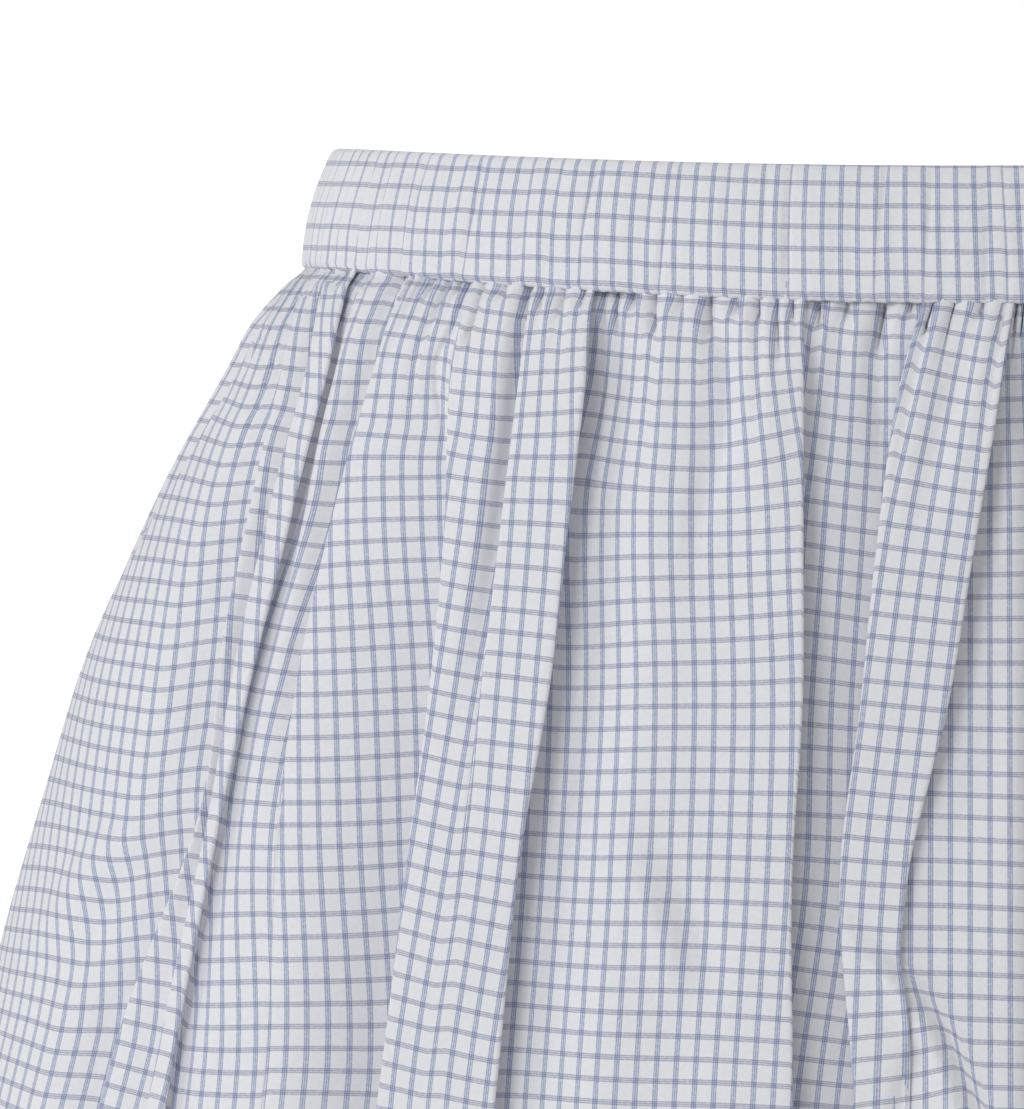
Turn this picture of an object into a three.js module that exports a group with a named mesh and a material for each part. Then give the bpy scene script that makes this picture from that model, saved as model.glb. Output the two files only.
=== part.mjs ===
import * as THREE from 'three';

// A gathered mini skirt with an elastic waistband, filled out as when worn and hollow inside.
// Millimetres, +Z up. The front faces -Y and +X is on the right as the front is looked at.
// The origin is the centre of the waist, half way up the waistband at the side seams.

const CLOTH_WALL = 1.2;
const BAND_WALL = 2.2;
const SEAM_GAP = 0.3;
const PANEL_LENGTH = 333;

// Height of the waistband's edges at the side seams, and how far they dip at the centre front.
const BAND_TOP = 12.5;
const BAND_TOP_DIP = 8.2;
const BAND_BOTTOM = -11.7;
const BAND_BOTTOM_DIP = 11.2;

// How far the top of the waistband is drawn in from its lower edge, and how far its middle swells.
const BAND_DRAW_IN = 6.5;
const BAND_SWELL = 1.1;
const PUCKER_DEPTH = 0.8;
const PUCKERS_PER_HALF = 34;
const STEPS_PER_PUCKER = 3;

// Body of the skirt, seen from above, at distances below the waist seam: an oval whose front and
// back halves have their own depths.
const BODY = {
  drop: [0, 10, 20, 40, 60, 80, 100, 130, 170, 220, 270, 330],
  halfWidth: [140.4, 149.6, 155.2, 166.4, 175.8, 183.8, 190.2, 199, 209.4, 220.5, 230.5, 241],
  front: [76, 79, 81, 84, 87, 89.5, 92, 95, 99.5, 106, 113, 121],
  back: [97, 103, 110, 122, 133, 142, 150, 161, 173, 185, 195, 205],
};

// Rings of the mesh, and the heights that the fold table is written at, both in millimetres of
// cloth below the waist seam.
const RINGS = [0, 9, 21, 38, 62, 95, 138, 195, 262, PANEL_LENGTH];
const HEIGHTS = [0, 20, 50, 80, 115, 165, 333];

// Folds of the front's left quarter, from the centre front to the side seam. Each is a step in the
// wall as deep as its layers of cloth lie, and the layers hidden behind its edge aren't made.
// at: distance of the fold's edge from the centre front, round the skirt.
// depth: how far the wall steps in at the edge.
// faces: which way the open edge looks, 1 to the centre front and -1 to the side seam.
const LEFT_FOLDS = [
  { name: 'middle', faces: 1, at: [-3, 0, 5, 10, 18, 20, 22], depth: [8, 8, 7, 6, 4.5, 3.6, 2.7] },
  { name: 'flap', faces: -1, at: [15, 20, 24, 27, 31, 30, 36], depth: [4, 5, 6.3, 7.2, 8.4, 7.6, 4] },
  { name: 'wide', faces: 1, at: [38, 38, 38, 38, 40, 40, 47], depth: [4, 4.5, 5.8, 7.2, 7.2, 7.2, 4.5] },
  { name: 'pleat', faces: 1, at: [81, 82, 85, 88, 94, 99, 118], depth: [9, 10, 10, 10, 9, 7, 5] },
  { name: 'heel', faces: -1, at: [108, 111, 111, 113, 117, 123, 146], depth: [3, 2, 3.6, 6, 8, 9, 4.5] },
  { name: 'fan', faces: -1, at: [124, 129, 136, 142, 146, 147, 170], depth: [8, 8, 7.5, 3.6, 0, 0, 1.8] },
  { name: 'gap', faces: 1, at: [140, 142, 148, 154, 159, 168, 197], depth: [10, 12, 13, 13, 12, 10, 6] },
  { name: 'ridge', faces: -1, at: [154, 155, 160, 166, 171, 186, 222], depth: [5, 4.5, 4.5, 5.5, 6, 8, 5] },
  { name: 'side', faces: -1, at: [164, 170, 184, 203, 212, 226, 262], depth: [6, 6, 7, 8, 8, 8, 6] },
];

// Soft hollows in the same quarter, where the cloth dips between two folds.
const LEFT_HOLLOWS = [
  { name: 'by the side', width: 11, at: [161, 163, 170, 182, 190, 204, 240], depth: [0, 1, 3, 4, 5, 5, 4] },
  { name: 'wide panel', width: 9, at: [57, 56, 55, 56, 60, 66, 80], depth: [1, 3, 2, 1, 1, 2, 3] },
  { name: 'pleat nip', width: 4, at: [94, 96, 98, 101, 106, 112, 133], depth: [1, 3, 2, 0, 0, 0, 0] },
];

// The other three quarters have folds of like size, spread by a formula and never two the same.
const OTHER_FOLDS = 10;
const LEFT_SIDE_FOLDS = { front: LEFT_FOLDS.length, back: OTHER_FOLDS };
const SEEDS = { frontRight: 2.6, backLeft: 0.9, backRight: 4.4 };

// Small gathers under the seam, four columns to a gather, which fade out by GATHER_REACH.
const GATHER_DEPTH = 1.7;
const GATHER_REACH = 46;
const COLUMNS_PER_GATHER = 4;

// Where the folds start to open under the seam, where they are fully open, and where the columns of
// the mesh, even at the seam, come to follow them.
const FOLD_START = 6;
const FOLD_FULL = 38;
const FOLLOW_FULL = 21;

// Shape of a fold's step: radius of its two turns, steepest slope in degrees, the room that it
// has along the wall and how much of that lies on the near side of its edge.
const TURN = 1.7;
const STEEPEST = 80;
const STEP_ROOM = 5.4;
const NEAR_ROOM = 1.4;
const ARC_STEPS = 6;

const LEFT_FOLD_COLUMNS = 6;
const OTHER_FOLD_COLUMNS = 5;
const CLOTH_PER_COLUMN = 9;
const OVAL_STEPS = 720;
const TANGENT_STEP = 0.4;

// Value at x of a smooth curve through the points (xs, ys), flat past its ends.
function smoothAt(xs, ys, x) {
  const last = xs.length - 1;
  if (x <= xs[0]) return ys[0];
  if (x >= xs[last]) return ys[last];
  let i = 0;
  while (x > xs[i + 1]) i += 1;
  const slope = (k) => {
    const a = Math.max(0, k - 1);
    const b = Math.min(last, k + 1);
    return (ys[b] - ys[a]) / (xs[b] - xs[a]);
  };
  const width = xs[i + 1] - xs[i];
  const u = (x - xs[i]) / width;
  const startPart = (1 + 2 * u) * (1 - u) ** 2 * ys[i] + u * (1 - u) ** 2 * width * slope(i);
  const endPart = u * u * (3 - 2 * u) * ys[i + 1] + u * u * (u - 1) * width * slope(i + 1);
  return startPart + endPart;
}

// Straight-line value at x between the points (xs, ys).
function lineAt(xs, ys, x) {
  const last = xs.length - 1;
  if (x <= xs[0]) return ys[0];
  if (x >= xs[last]) return ys[last];
  let low = 0;
  let high = last;
  while (high - low > 1) {
    const middle = (low + high) >> 1;
    if (xs[middle] <= x) low = middle;
    else high = middle;
  }
  const share = (x - xs[low]) / (xs[high] - xs[low]);
  return ys[low] + share * (ys[high] - ys[low]);
}

const ease = (start, end, x) => THREE.MathUtils.smoothstep(x, start, end);

// Shares of the front dip at an angle round the waist, 1 at the centre front and 0 at the sides. The
// seam under the waistband dips later than the top edge does.
function dipShare(angle, early) {
  const forward = Math.cos(angle);
  return forward > 0 ? early * forward + (1 - early) * forward ** 2 : early * forward * (1 + forward);
}

const topDip = (angle) => BAND_TOP_DIP * dipShare(angle, 0.45);
const seamDip = (angle) => BAND_BOTTOM_DIP * dipShare(angle, 0.2);

// Drop below the seam of the cloth point that is v millimetres down at an angle round the skirt.
function dropAt(angle, v) {
  const steps = 24;
  const across = Math.sin(angle);
  const forward = Math.cos(angle);
  const depths = forward > 0 ? BODY.front : BODY.back;
  let drop = 0;
  for (let i = 0; i < steps; i += 1) {
    const wider = (smoothAt(BODY.drop, BODY.halfWidth, drop + 1) - smoothAt(BODY.drop, BODY.halfWidth, drop));
    const deeper = (smoothAt(BODY.drop, depths, drop + 1) - smoothAt(BODY.drop, depths, drop));
    drop += v / steps / Math.hypot(1, wider * across, deeper * forward);
  }
  return drop;
}

// One ring of the smooth body: points by distance round from the centre of a half, front or back.
function bodyRing(v, half) {
  const distances = [0];
  const points = [];
  const depths = half === 'front' ? BODY.front : BODY.back;
  const sign = half === 'front' ? -1 : 1;
  for (let i = 0; i <= OVAL_STEPS; i += 1) {
    const angle = Math.PI * (i / OVAL_STEPS - 0.5);
    const turned = half === 'front' ? angle : Math.PI - angle;
    const drop = dropAt(turned, v);
    const x = smoothAt(BODY.drop, BODY.halfWidth, drop) * Math.sin(angle);
    const y = sign * smoothAt(BODY.drop, depths, drop) * Math.cos(angle);
    const z = BAND_BOTTOM - seamDip(turned) - drop;
    points.push([x, y, z]);
    if (i > 0) distances.push(distances[i - 1] + Math.hypot(x - points[i - 1][0], y - points[i - 1][1]));
  }
  const total = distances[OVAL_STEPS];
  const centred = distances.map((d) => d - total / 2);
  const axis = (k) => points.map((p) => p[k]);
  const columns = [axis(0), axis(1), axis(2)];
  return { half: total / 2, sign, at: (t) => columns.map((ys) => lineAt(centred, ys, t)) };
}

// The folds of the front's left quarter at height v.
function leftFolds(v) {
  return LEFT_FOLDS.map(({ faces, at, depth }) => ({
    faces,
    at: smoothAt(HEIGHTS, at, v),
    depth: Math.max(0, smoothAt(HEIGHTS, depth, v)),
    columns: LEFT_FOLD_COLUMNS,
  }));
}

// The folds of another quarter at height v, uneven in place and depth.
function otherFolds(v, quarter, seed) {
  const down = v / PANEL_LENGTH;
  const numbers = [...Array(OTHER_FOLDS).keys()];
  return numbers.map((i) => {
    const wander = 0.2 * Math.sin(seed + 2.3 * i) + 0.12 * down * Math.sin(seed * 1.7 + 1.9 * i);
    const size = 1 + 0.35 * Math.sin(seed * 0.6 + 3.1 * i) + 0.12 * Math.sin(5 * down + i);
    return {
      faces: Math.sin(seed + 4.7 * i) > -0.25 ? 1 : -1,
      at: (quarter * (i + 0.5 + wander)) / OTHER_FOLDS,
      depth: 7.5 * size * (1 - 0.35 * down),
      columns: OTHER_FOLD_COLUMNS,
    };
  });
}

// The folds of a whole half at height v, from its left end to its right end.
function foldsAt(v, half, quarter) {
  const front = half === 'front';
  const left = front ? leftFolds(v) : otherFolds(v, quarter, SEEDS.backLeft);
  const right = otherFolds(v, quarter, front ? SEEDS.frontRight : SEEDS.backRight);
  return [
    ...left.reverse().map((fold) => ({ ...fold, at: -fold.at })),
    ...right.map((fold) => ({ ...fold, faces: -fold.faces })),
  ];
}

// Depth of the soft hollows at a place in a half.
function hollowAt(v, half, t) {
  if (half === 'back') return 0;
  return LEFT_HOLLOWS.reduce((sum, { width, at, depth }) => {
    const away = (t + smoothAt(HEIGHTS, at, v)) / width;
    return sum + smoothAt(HEIGHTS, depth, v) * Math.exp(-away * away);
  }, 0);
}

// A fold as a curve in (t, depth): out to its edge, round it, down the step and on again.
function foldCurve({ at, faces, depth }) {
  const steepest = THREE.MathUtils.degToRad(STEEPEST);
  const turned = 2 * TURN * (1 - Math.cos(steepest));
  const angle = depth < turned ? Math.acos(1 - depth / (2 * TURN)) : steepest;
  const straight = Math.max(0, depth - turned) / Math.sin(steepest);
  const points = [[0, 0]];
  for (let i = 0; i <= ARC_STEPS; i += 1) {
    const a = (angle * i) / ARC_STEPS;
    points.push([NEAR_ROOM + TURN * Math.sin(a), TURN * (1 - Math.cos(a))]);
  }
  const [topT, topDepth] = points[points.length - 1];
  const footT = topT + straight * Math.cos(angle) + TURN * Math.sin(angle);
  const footDepth = topDepth + straight * Math.sin(angle) + TURN * (1 - Math.cos(angle));
  for (let i = straight > 0 ? 0 : 1; i <= ARC_STEPS; i += 1) {
    const a = angle * (1 - i / ARC_STEPS);
    points.push([footT - TURN * Math.sin(a), footDepth - TURN * (1 - Math.cos(a))]);
  }
  points.push([STEP_ROOM + straight * Math.cos(angle), footDepth]);
  const placed = points.map(([t, inward]) => [t - NEAR_ROOM - TURN / 2, inward]);
  const drawn = faces > 0 ? placed : placed.map(([t, inward]) => [-t, inward]).reverse();
  return drawn.map(([t, inward]) => [t + at, inward]);
}

// The section of a half at height v: a line of [t, depth] points, and where its folds start and end.
function section(v, half) {
  const ring = bodyRing(v, half);
  const open = ease(FOLD_START, FOLD_FULL, v);
  const reach = ring.half - SEAM_GAP / 2;
  const line = [[-reach, 0]];
  const marks = [];
  foldsAt(v, half, ring.half).forEach((fold) => {
    const curve = foldCurve({ ...fold, depth: fold.depth * open });
    addPanel(line, curve[0]);
    const start = line.length - 1;
    line.push(...curve.slice(1));
    marks.push({ start, end: line.length - 1, columns: fold.columns });
  });
  addPanel(line, [reach, 0]);
  return { ring, line, marks, follow: ease(0, FOLLOW_FULL, v) };
}

// Adds a panel from the last point of the line to the next fold, easing between their depths.
function addPanel(line, [endT, endDepth]) {
  const [startT, startDepth] = line[line.length - 1];
  const steps = 12;
  const lift = 0.3 * Math.min(startDepth, endDepth);
  for (let i = 1; i <= steps; i += 1) {
    const u = i / steps;
    const depth = startDepth + (endDepth - startDepth) * ease(0, 1, u) - lift * Math.sin(Math.PI * u) ** 2;
    line.push([startT + (endT - startT) * u, depth]);
  }
}

// Column counts of a half's stretches: panel, fold, panel and so on.
function columnCounts(half) {
  const { line, marks } = section(HEIGHTS[3], half);
  const counts = [];
  let from = line[0][0];
  const panelCount = (to) => Math.max(1, Math.round((to - from) / CLOTH_PER_COLUMN));
  marks.forEach(({ start, end, columns }) => {
    counts.push(panelCount(line[start][0]), columns);
    from = line[end][0];
  });
  counts.push(panelCount(line[line.length - 1][0]));
  return counts;
}

// Points along a section. Under the seam they are even, and lower down they follow the folds.
function columnsOf({ line, marks, follow }, counts, half) {
  const lengths = [0];
  for (let i = 1; i < line.length; i += 1) {
    lengths.push(lengths[i - 1] + Math.hypot(line[i][0] - line[i - 1][0], line[i][1] - line[i - 1][1]));
  }
  const whole = lengths[lengths.length - 1];
  const ends = [0, ...marks.flatMap(({ start, end }) => [lengths[start], lengths[end]]), whole];
  const sum = (some) => some.reduce((total, count) => total + count, 0);
  const leftStretches = 2 * LEFT_SIDE_FOLDS[half];
  const leftCount = sum(counts.slice(0, leftStretches)) + counts[leftStretches] / 2;
  const rightCount = sum(counts) - leftCount;
  const ts = line.map((p) => p[0]);
  const depths = line.map((p) => p[1]);
  const columns = [];
  counts.forEach((count, k) => {
    for (let i = k === 0 ? 0 : 1; i <= count; i += 1) {
      const fromCentre = columns.length - leftCount;
      const even = (whole / 2) * (1 + fromCentre / (fromCentre < 0 ? leftCount : rightCount));
      const following = ends[k] + ((ends[k + 1] - ends[k]) * i) / count;
      const along = THREE.MathUtils.lerp(even, following, follow);
      const ahead = along + TANGENT_STEP;
      const behind = along - TANGENT_STEP;
      columns.push({
        t: lineAt(lengths, ts, along),
        depth: lineAt(lengths, depths, along),
        run: lineAt(lengths, ts, ahead) - lineAt(lengths, ts, behind),
        rise: lineAt(lengths, depths, ahead) - lineAt(lengths, depths, behind),
      });
    }
  });
  return columns;
}

// Outer and inner points of a skirt panel, ring by ring. The inner points lie one wall in from the
// outer ones, square to the folded cloth.
function skirtRings(half) {
  const counts = columnCounts(half);
  const outer = [];
  const inner = [];
  RINGS.forEach((v, r) => {
    const cut = section(v, half);
    const lower = bodyRing(v + 1, half);
    const fade = (1 - v / GATHER_REACH) ** 2 * (v < GATHER_REACH ? 1 : 0);
    const facing = -cut.ring.sign;
    const columns = columnsOf(cut, counts, half);
    const waves = columns.map((_, c) => {
      const size = 0.65 + 0.35 * Math.sin(0.83 * c);
      return GATHER_DEPTH * fade * size * (0.5 - 0.5 * Math.cos((2 * Math.PI * c) / COLUMNS_PER_GATHER));
    });
    const outerRing = [];
    const innerRing = [];
    columns.forEach(({ t, depth, run, rise }, c) => {
      const here = new THREE.Vector3(...cut.ring.at(t));
      const before = new THREE.Vector3(...cut.ring.at(t - 0.5));
      const after = new THREE.Vector3(...cut.ring.at(t + 0.5));
      const round = after.sub(before).setZ(0).normalize();
      const inward = new THREE.Vector3(-facing * round.y, facing * round.x, 0);
      const down = new THREE.Vector3(...lower.at((t * lower.half) / cut.ring.half)).sub(here);
      const previous = Math.max(0, c - 1);
      const next = Math.min(columns.length - 1, c + 1);
      const waveSlope = (waves[next] - waves[previous]) / (columns[next].t - columns[previous].t);
      const slope = rise + waveSlope * run;
      const along = round.clone().multiplyScalar(run).addScaledVector(inward, slope);
      const normal = along.cross(down).normalize().multiplyScalar(facing);
      const point = here.addScaledVector(inward, depth + hollowAt(v, half, t) + waves[c]);
      if (r === 0) point.z -= SEAM_GAP;
      const inside = point.clone().addScaledVector(normal, CLOTH_WALL);
      if (r === 0) inside.z = point.z;
      if (c === 0 || c === columns.length - 1) inside.y = point.y;
      outerRing.push(point);
      innerRing.push(inside);
    });
    outer.push(outerRing);
    inner.push(innerRing);
  });
  return { outer, inner };
}

// A closed solid from columns, each a closed loop of points with the same count. From the point
// numbered innerStart on, the faces are split along their other diagonal, so that both sides of a
// wall are split alike.
function solidFromLoops(loops, capPairs, innerStart) {
  const size = loops[0].length;
  const positions = loops.flat().flatMap((p) => [p.x, p.y, p.z]);
  const faces = [];
  for (let c = 0; c < loops.length - 1; c += 1) {
    for (let k = 0; k < size; k += 1) {
      const a = c * size + k;
      const b = c * size + ((k + 1) % size);
      if (k < innerStart) faces.push(a, b, a + size, b, b + size, a + size);
      else faces.push(a, b, b + size, a, b + size, a + size);
    }
  }
  const last = (loops.length - 1) * size;
  capPairs.forEach(([p, q, s]) => {
    faces.push(p, s, q);
    faces.push(last + p, last + q, last + s);
  });
  const geometry = new THREE.BufferGeometry();
  geometry.setAttribute('position', new THREE.Float32BufferAttribute(positions, 3));
  geometry.setIndex(faces);
  geometry.computeVertexNormals();
  return geometry;
}

function skirtPanel(half) {
  const { outer, inner } = skirtRings(half);
  const rows = outer.length;
  const loops = outer[0].map((_, c) => [
    ...outer.map((ring) => ring[c]),
    ...inner.map((ring) => ring[c]).reverse(),
  ]);
  if (half === 'back') loops.reverse();
  const caps = [];
  for (let r = 0; r < rows - 1; r += 1) {
    const innerHere = 2 * rows - 1 - r;
    caps.push([r, r + 1, innerHere], [r + 1, innerHere - 1, innerHere]);
  }
  return solidFromLoops(loops, caps, rows);
}

// Profile of the waistband, from the outer lower edge up and round to the inner lower edge.
// up: share of the height. out: share of the wall, 1 outside and 0 inside.
const BAND_PROFILE = [
  { up: 0, out: 0.55 },
  { up: 0.07, out: 0.95 },
  { up: 0.36, out: 1 },
  { up: 0.7, out: 1 },
  { up: 0.95, out: 0.95 },
  { up: 1, out: 0.5 },
  { up: 0.95, out: 0 },
  { up: 0.05, out: 0 },
];

function waistband(half) {
  const columns = PUCKERS_PER_HALF * STEPS_PER_PUCKER;
  const sign = half === 'front' ? -1 : 1;
  const depth = half === 'front' ? BODY.front[0] : BODY.back[0];
  const trim = SEAM_GAP / 2 / depth;
  const loops = [];
  for (let c = 0; c <= columns; c += 1) {
    const share = (2 * c) / columns - 1;
    const angle = share * (Math.PI / 2 - trim);
    const turned = half === 'front' ? angle : Math.PI - angle;
    const ripple = 0.5 + 0.5 * Math.sin((2 * Math.PI * c) / STEPS_PER_PUCKER + 1.5 * Math.sin(4 * angle));
    loops.push(BAND_PROFILE.map(({ up, out }) => {
      const swell = BAND_SWELL * Math.sin(Math.PI * up) - BAND_DRAW_IN * up;
      const offset = swell + BAND_WALL * (out - 1) - PUCKER_DEPTH * ripple * Math.sin(Math.PI * up) * out;
      const bottom = BAND_BOTTOM - seamDip(turned);
      const top = BAND_TOP - topDip(turned);
      const x = (BODY.halfWidth[0] + offset) * Math.sin(angle);
      const y = sign * (depth + offset) * Math.cos(angle);
      return new THREE.Vector3(x, y, bottom + up * (top - bottom));
    }));
  }
  if (half === 'front') loops.reverse();
  const caps = [];
  for (let k = 1; k < BAND_PROFILE.length - 1; k += 1) caps.push([0, k, k + 1]);
  return solidFromLoops(loops, caps, BAND_PROFILE.length - 2);
}

function cloth(color) {
  return new THREE.MeshStandardMaterial({ color, roughness: 0.85, metalness: 0, side: THREE.FrontSide });
}

const SKIRT_COLOR = 0xd9dce6;
const BAND_COLOR = 0xd3d7e4;

const PIECES = [
  { name: 'waistband_front', geometry: waistband('front'), color: BAND_COLOR },
  { name: 'waistband_back', geometry: waistband('back'), color: BAND_COLOR },
  { name: 'skirt_front', geometry: skirtPanel('front'), color: SKIRT_COLOR },
  { name: 'skirt_back', geometry: skirtPanel('back'), color: SKIRT_COLOR },
];

const skirt = new THREE.Group();
PIECES.forEach(({ name, geometry, color }) => {
  const mesh = new THREE.Mesh(geometry, cloth(color));
  mesh.name = name;
  skirt.add(mesh);
});

export default skirt;
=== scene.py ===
"""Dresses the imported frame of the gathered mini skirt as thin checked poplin.

Lengths are millimetres until a mesh is made. On the cloth, s runs round the skirt from the centre of
a half and v runs down from the waist seam. On the body, t is the distance round from the same centre
and depth is measured inwards.
"""

import math

import bpy
import numpy as np
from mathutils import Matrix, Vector

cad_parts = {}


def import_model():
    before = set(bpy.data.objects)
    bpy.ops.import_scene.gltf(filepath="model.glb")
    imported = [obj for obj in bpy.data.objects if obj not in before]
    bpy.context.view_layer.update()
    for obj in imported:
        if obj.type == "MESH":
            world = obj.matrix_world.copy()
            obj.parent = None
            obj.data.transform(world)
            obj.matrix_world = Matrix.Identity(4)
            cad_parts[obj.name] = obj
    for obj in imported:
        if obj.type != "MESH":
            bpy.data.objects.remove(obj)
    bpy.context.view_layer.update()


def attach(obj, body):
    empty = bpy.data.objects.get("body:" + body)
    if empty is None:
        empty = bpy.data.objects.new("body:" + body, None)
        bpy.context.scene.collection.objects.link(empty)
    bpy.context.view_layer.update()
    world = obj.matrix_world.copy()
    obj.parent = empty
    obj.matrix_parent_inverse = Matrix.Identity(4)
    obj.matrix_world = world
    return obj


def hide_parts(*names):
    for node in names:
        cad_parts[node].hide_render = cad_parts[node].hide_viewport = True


MM = 0.001
TURN = 2 * math.pi

# Least divisor, where a length may be 0.
TINY = 1e-9

# Cut of the cloth: length below the waist seam, width between the side seams, what is turned up at
# the hem and in at the side seams, and the cloth's thickness.
PANEL_LENGTH = 333
PANEL_CLOTH = {"front": 850, "back": 860}
BAND_CLOTH = {"front": 405, "back": 450}
HEM_TURN = 12
SEAM_ALLOWANCE = 8
CLOTH = 0.36

# The woven check: from one upright stripe to the next, and from one woven row to the next.
STRIPE_PITCH = 3.85
ROW_PITCH = 4.32

# Heights of the waistband's edges at the side seams, how far they dip at the centre front, and the
# share of each dip that begins at the sides.
BAND_TOP = 12.5
BAND_TOP_DIP = 8.2
BAND_BOTTOM = -11.7
BAND_BOTTOM_DIP = 11.2
EARLY = {"top": 0.45, "seam": 0.2}

# The smooth form under the folds, at distances below the waist seam: an oval whose front and back
# halves have their own depths.
BODY_DROP = [0, 10, 20, 40, 60, 80, 100, 130, 170, 220, 270, 330]
BODY_HALF_WIDTH = [140.4, 149.6, 155.2, 166.4, 175.8, 183.8, 190.2, 199, 209.4, 220.5, 230.5, 241]
BODY_DEPTH = {
    "front": [76, 79, 81, 84, 87, 89.5, 92, 95, 99.5, 106, 113, 121],
    "back": [97, 103, 110, 122, 133, 142, 150, 161, 173, 185, 195, 205],
}
OVAL_STEPS = 720

# The panels stop this far short of the side seams, lie this far in from the smooth form there, and
# come out to it over this width.
SEAM_EASE = 0.2
SEAM_INSET = 0.5
SEAM_BANK = 30


# Folds of the cloth.

# Distances below the seam at which the fold table is written.
HEIGHTS = [0, 20, 50, 80, 115, 165, 333]

# What a fold has where its own rows say nothing else.
WIDE_BANK = 60
LEVEL = [0] * len(HEIGHTS)
PLAIN = {"bank": [WIDE_BANK] * len(HEIGHTS), "sink": LEVEL, "rise": LEVEL, "turn": LEVEL, "swing": LEVEL}


def fold(faces, at, depth, tuck, crisp=0.0, **own):
    """One fold of the table."""
    return {"faces": faces, "crisp": crisp, "rows": {**PLAIN, "at": at, "depth": depth, "tuck": tuck, **own}}


# Folds of the front's left quarter, from the centre front to the side seam, at the HEIGHTS.
# at: distance of the fold's edge from the centre front. faces: 1 where the open edge looks to it.
# depth: how far in the lower layer lies. tuck: the cloth hidden in the fold.
# bank: width over which the lower panel comes up again, and crisp: how sharply it levels out.
# sink: how far in the edge itself lies. rise: how far the lower panel's woven rows rise to the edge.
# turn: how steeply the rows on both sides of the fold rise towards the centre front, and swing: the
# same for the panel that is nearer to the centre front alone.
# The last fold has what cloth is left over as its tuck.
LEFT_FOLDS = {
    "middle": fold(
        faces=1, at=[-3, 0, 5, 10, 18, 20, 22], depth=[4.5, 5, 5, 4.2, 2.4, 0.8, 2.4],
        tuck=[27, 23, 18, 14, 10, 8, 10],
    ),
    "flap": fold(
        faces=-1, at=[15, 20, 24, 27, 31, 28, 36], depth=[4, 5, 6, 6.4, 6.2, 5.4, 4],
        tuck=[8, 11, 14, 16, 19, 15, 12],
    ),
    "wide": fold(
        faces=1, at=[38, 38, 38, 38, 40, 40, 47], depth=[4, 4.5, 5.6, 5.7, 5.2, 5, 4.5],
        tuck=[10, 11, 13, 16, 16, 19, 14],
    ),
    "pleat": fold(
        faces=1, at=[81, 82, 85, 88, 94, 99, 118], depth=[6, 6.5, 6.5, 6.5, 6.5, 6, 5],
        tuck=[30, 30, 29, 26, 24, 20, 14],
        bank=[15, 16, 18, 20, 22, 22, 24], swing=[0.05, 0.09, 0.07, 0.08, 0.1, 0.09, 0.04],
    ),
    "nip": fold(
        faces=-1, at=[94, 96, 99, 102, 106, 112, 133], depth=[4, 4.6, 3.6, 1.4, 0, 0, 0],
        tuck=[6, 6, 4.5, 2.5, 0.5, 0, 0],
        bank=[4, 4, 5, 8, 14, 20, 20], swing=[0.12, 0.2, 0.07, 0.03, 0.03, 0.03, 0.02],
    ),
    "heel": fold(
        faces=-1, at=[108, 111, 111, 113, 117, 123, 146], depth=[3, 3, 3.6, 6, 7, 7, 4.5],
        tuck=[5, 2, 5, 11, 17.5, 27, 16],
        rise=[0, 0.6, 1, 1, 1, 0, 0],
    ),
    "fan": fold(
        faces=-1, at=[124, 129, 136, 142, 146, 147, 170], depth=[3.5, 3.6, 3.6, 3, 0.3, 0.3, 1.8],
        tuck=[21, 21, 18, 8, 1, 1, 6],
        bank=[9, 10, 10, 8, 6, 6, 8], turn=[0.05, 0.15, 0.15, 0.14, 0.14, 0.14, 0.12],
    ),
    "gap": fold(
        faces=1, at=[140, 141, 146, 152, 159, 168, 197], depth=[4, 3.5, 4.5, 8.5, 11, 9, 7],
        tuck=[27, 37, 42, 51, 58, 58, 18],
        bank=[1.8, 1.8, 3, 6, 7.5, 7.5, 8], crisp=0.8,
    ),
    "ridge": fold(
        faces=-1, at=[148, 147, 152, 157, 162, 172, 205], depth=[3, 3, 3, 3, 2.6, 2.4, 2],
        tuck=[16, 13, 9, 7, 6, 4, 6],
    ),
    "foot": fold(
        faces=-1, at=[155, 155, 158, 162, 165, 184, 222], depth=[2, 2, 2.4, 3.2, 3.8, 4, 4],
        tuck=[21, 16, 13, 13, 11, 11, 14],
        bank=[9, 9, 12, 16, 18, 18, 14], sink=[0.3, 0.4, 0.6, 0.8, 0.8, 0.8, 0.8],
        rise=[0, 0.8, 2.2, 3.8, 4.2, 3, 0],
    ),
    "side": fold(
        faces=-1, at=[164, 170, 186, 208, 221, 236, 270], depth=[3, 3, 3, 2.6, 2.2, 2.2, 3],
        tuck=LEVEL,
        bank=[9, 9, 12, 14, 16, 20, 24],
    ),
}

# Folds of a quarter that the photo doesn't show: how many, their mean depth at the seam, the share of
# it that is gone at the hem, the bank of every third one, how crisp all are, and what sets the
# quarters apart.
OTHER_FOLDS = 10
OTHER_DEPTH = 6.8
OTHER_FADING = 0.35
OTHER_BANK = 11
OTHER_CRISP = 0.5
SEEDS = {"front": {"right": 2.6}, "back": {"left": 0.9, "right": 4.4}}

# How unlike each other those folds are in hidden cloth, place and depth: an unevenness that is the same
# all the way down, and one that changes on the way. Below the scattered value OTHER_FACING, a fold
# faces the other way.
OTHER_TUCKS = (0.5, 0.2)
OTHER_PLACES = (0.2, 0.12)
OTHER_DEPTHS = (0.35, 0.12)
OTHER_FACING = -0.25

# Share of a fold's depth that it has at the seam, and where it has all of it.
SEAM_DEPTH = 0.4
DEPTH_FULL = 22

# A fold's edge is a lip, its lower layer levels out in a foot, and a straight part joins them. A foot
# that ends under the upper layer has a level return to the edge.
LIP_RADIUS = 0.6
LIP_POINTS = 9
UNDER_POINTS = 4
FOOT_POINTS = 9
RETURN_POINTS = 3
SHORTEST_RETURN = 0.05

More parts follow.
